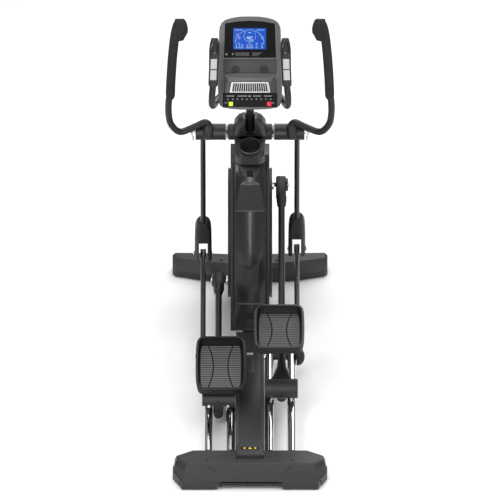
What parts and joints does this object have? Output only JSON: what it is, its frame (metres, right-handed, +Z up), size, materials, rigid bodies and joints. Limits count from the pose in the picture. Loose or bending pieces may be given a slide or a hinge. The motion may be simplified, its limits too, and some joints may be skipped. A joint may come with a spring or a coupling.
{
  "type": "elliptical trainer",
  "caption": "Front-crank elliptical trainer with rear roller rails, swinging handlebars, fixed pulse grips and a console on a central mast.",
  "frame": {"origin": "middle of the footprint at floor level", "axes": "+Z up, +Y forward from the user towards the drive housing, +X to the user's right"},
  "size_m": [0.765, 2, 1.6966],
  "materials": {
    "black_plastic": "matte",
    "charcoal_paint": "satin",
    "charcoal_plastic": "satin",
    "chrome": "polished",
    "foam": "foam",
    "gloss_black": "gloss",
    "green_key": "satin",
    "grey_plastic": "satin",
    "iron": "cast",
    "red_key": "satin",
    "rubber": "matte",
    "screen": "gloss",
    "silver_plastic": "satin metallic",
    "steel": "machined",
    "wheel_polymer": "smooth"
  },
  "bodies": {
    "frame": {"main_frame": "charcoal_paint", "spine_cover": "charcoal_plastic", "rear_stabilizer_cover": "charcoal_plastic", "rear_lift_bar": "black_plastic", "rails_right": "chrome", "rails_left": "chrome", "front_stabilizer_cover": "charcoal_plastic", "housing_right": "charcoal_plastic", "housing_left": "charcoal_plastic", "housing_rear_panel": "gloss_black", "mast_cover": "charcoal_plastic", "bottle_holder": "charcoal_plastic", "mast_tube": "charcoal_paint", "drive_belt": "rubber", "pivot_shaft": "steel", "console_front": "grey_plastic", "console_back": "charcoal_plastic", "display": "screen", "key_panel": "gloss_black", "fan_grille": "silver_plastic", "pulse_bar": "charcoal_paint", "pulse_grip_right": "grey_plastic", "pulse_grip_left": "grey_plastic"},
    "crank": {"crank_set": "steel", "crank_pulley": "black_plastic", "crank_disc_right": "charcoal_plastic", "crank_disc_left": "charcoal_plastic"},
    "flywheel": {"flywheel": "iron"},
    "idler": {"tension_idler": "black_plastic"},
    "fan": {"fan_rotor": "black_plastic"},
    "start_key": {"start_key": "green_key"},
    "stop_key": {"stop_key": "red_key"},
    "right_truck": {"roller_axle_right": "steel"},
    "right_rollers": {"rollers_right": "wheel_polymer"},
    "right_pedal_arm": {"pedal_arm_right": "charcoal_paint", "crank_head_right": "charcoal_plastic", "carriage_right": "charcoal_plastic"},
    "right_foot_link": {"foot_link_right": "charcoal_paint", "pedal_right": "charcoal_plastic"},
    "right_swing_arm": {"swing_arm_right": "charcoal_paint", "handlebar_right": "charcoal_paint", "grip_right": "foam", "fork_right": "charcoal_plastic"},
    "transport_wheel_right": {"transport_wheel_right": "rubber"},
    "rear_foot_right": {"rear_foot_right": "rubber"},
    "thumb_key_right": {"thumb_key_right": "black_plastic"},
    "left_truck": {"roller_axle_left": "steel"},
    "left_rollers": {"rollers_left": "wheel_polymer"},
    "left_pedal_arm": {"pedal_arm_left": "charcoal_paint", "crank_head_left": "charcoal_plastic", "carriage_left": "charcoal_plastic"},
    "left_foot_link": {"foot_link_left": "charcoal_paint", "pedal_left": "charcoal_plastic"},
    "left_swing_arm": {"swing_arm_left": "charcoal_paint", "handlebar_left": "charcoal_paint", "grip_left": "foam", "fork_left": "charcoal_plastic"},
    "transport_wheel_left": {"transport_wheel_left": "rubber"},
    "rear_foot_left": {"rear_foot_left": "rubber"},
    "thumb_key_left": {"thumb_key_left": "black_plastic"}
  },
  "joints": [
    {"name": "right_stride", "type": "slide", "parent": "frame", "child": "right_truck", "axis": [0, 1, 0], "range_m": [0, 0.17864]},
    {"name": "left_stride", "type": "slide", "parent": "frame", "child": "left_truck", "axis": [0, 1, 0], "range_m": [-0.22585, 0]},
    {"name": "right_rollers_spin", "type": "hinge", "parent": "right_truck", "child": "right_rollers", "pos_m": [0.1428, -0.32874, 0.1342], "axis": [1, 0, 0], "continuous": true},
    {"name": "right_arm_pivot", "type": "hinge", "parent": "right_truck", "child": "right_pedal_arm", "pos_m": [0.1428, -0.32874, 0.1342], "axis": [1, 0, 0], "range_deg": [-6.72, 0]},
    {"name": "right_foot_pivot", "type": "hinge", "parent": "right_pedal_arm", "child": "right_foot_link", "pos_m": [0.1428, -0.07821, 0.31965], "axis": [1, 0, 0], "range_deg": [0, 16.35]},
    {"name": "right_swing_pivot", "type": "hinge", "parent": "frame", "child": "right_swing_arm", "pos_m": [0.2126, 0.4998, 0.9943], "axis": [1, 0, 0], "range_deg": [0, 15.88]},
    {"name": "left_rollers_spin", "type": "hinge", "parent": "left_truck", "child": "left_rollers", "pos_m": [-0.1428, -0.4223, 0.1342], "axis": [1, 0, 0], "continuous": true},
    {"name": "left_arm_pivot", "type": "hinge", "parent": "left_truck", "child": "left_pedal_arm", "pos_m": [-0.1428, -0.4223, 0.1342], "axis": [1, 0, 0], "range_deg": [0, 6.16]},
    {"name": "left_foot_pivot", "type": "hinge", "parent": "left_pedal_arm", "child": "left_foot_link", "pos_m": [-0.1428, -0.11409, 0.18071], "axis": [1, 0, 0], "range_deg": [-11.68, 0]},
    {"name": "left_swing_pivot", "type": "hinge", "parent": "frame", "child": "left_swing_arm", "pos_m": [-0.2126, 0.4998, 0.9943], "axis": [1, 0, 0], "range_deg": [-15.93, 0]},
    {"name": "crank_spin", "type": "hinge", "parent": "frame", "child": "crank", "pos_m": [0, 0.6635, 0.3744], "axis": [1, 0, 0], "continuous": true},
    {"name": "flywheel_spin", "type": "hinge", "parent": "frame", "child": "flywheel", "pos_m": [0, 0.42, 0.3], "axis": [1, 0, 0], "continuous": true},
    {"name": "idler_spin", "type": "hinge", "parent": "frame", "child": "idler", "pos_m": [0.0525, 0.53, 0.2355], "axis": [1, 0, 0], "continuous": true},
    {"name": "transport_wheel_right_spin", "type": "hinge", "parent": "frame", "child": "transport_wheel_right", "pos_m": [0.27, 0.962, 0.046], "axis": [1, 0, 0], "continuous": true},
    {"name": "transport_wheel_left_spin", "type": "hinge", "parent": "frame", "child": "transport_wheel_left", "pos_m": [-0.27, 0.962, 0.046], "axis": [1, 0, 0], "continuous": true},
    {"name": "rear_foot_right_turn", "type": "hinge", "parent": "frame", "child": "rear_foot_right", "pos_m": [0.285, -0.915, 0.015], "axis": [0, 0, 1], "continuous": true},
    {"name": "rear_foot_left_turn", "type": "hinge", "parent": "frame", "child": "rear_foot_left", "pos_m": [-0.285, -0.915, 0.015], "axis": [0, 0, 1], "continuous": true},
    {"name": "fan_spin", "type": "hinge", "parent": "frame", "child": "fan", "pos_m": [0, 0.18495, 1.39954], "axis": [0, -0.866, 0.5], "continuous": true},
    {"name": "start_key_press", "type": "slide", "parent": "frame", "child": "start_key", "axis": [0, 0.866, -0.5], "range_m": [0, 0.0018], "stiffness_N_per_m": 600},
    {"name": "stop_key_press", "type": "slide", "parent": "frame", "child": "stop_key", "axis": [0, 0.866, -0.5], "range_m": [0, 0.0018], "stiffness_N_per_m": 600},
    {"name": "thumb_key_right_press", "type": "slide", "parent": "frame", "child": "thumb_key_right", "axis": [0, 0.9156, -0.402], "range_m": [0, 0.0018], "stiffness_N_per_m": 600},
    {"name": "thumb_key_left_press", "type": "slide", "parent": "frame", "child": "thumb_key_left", "axis": [0, 0.9156, -0.402], "range_m": [0, 0.0018], "stiffness_N_per_m": 600}
  ],
  "couplings": [
    {"joint": "left_stride", "follows": "right_stride", "ratio": -1.2643},
    {"joint": "right_rollers_spin", "follows": "right_stride", "rad_per_m": -29.07},
    {"joint": "right_arm_pivot", "follows": "right_stride", "rad_per_m": -0.65632},
    {"joint": "right_foot_pivot", "follows": "right_stride", "rad_per_m": 1.5978},
    {"joint": "right_swing_pivot", "follows": "right_stride", "rad_per_m": 1.5513},
    {"joint": "left_rollers_spin", "follows": "right_stride", "rad_per_m": 36.752},
    {"joint": "left_arm_pivot", "follows": "right_stride", "rad_per_m": 0.60168},
    {"joint": "left_foot_pivot", "follows": "right_stride", "rad_per_m": -1.1413},
    {"joint": "left_swing_pivot", "follows": "right_stride", "rad_per_m": -1.5567},
    {"joint": "crank_spin", "follows": "right_stride", "rad_per_m": -5.8622},
    {"joint": "flywheel_spin", "follows": "right_stride", "rad_per_m": -27.217},
    {"joint": "idler_spin", "follows": "right_stride", "rad_per_m": 42.338}
  ]
}
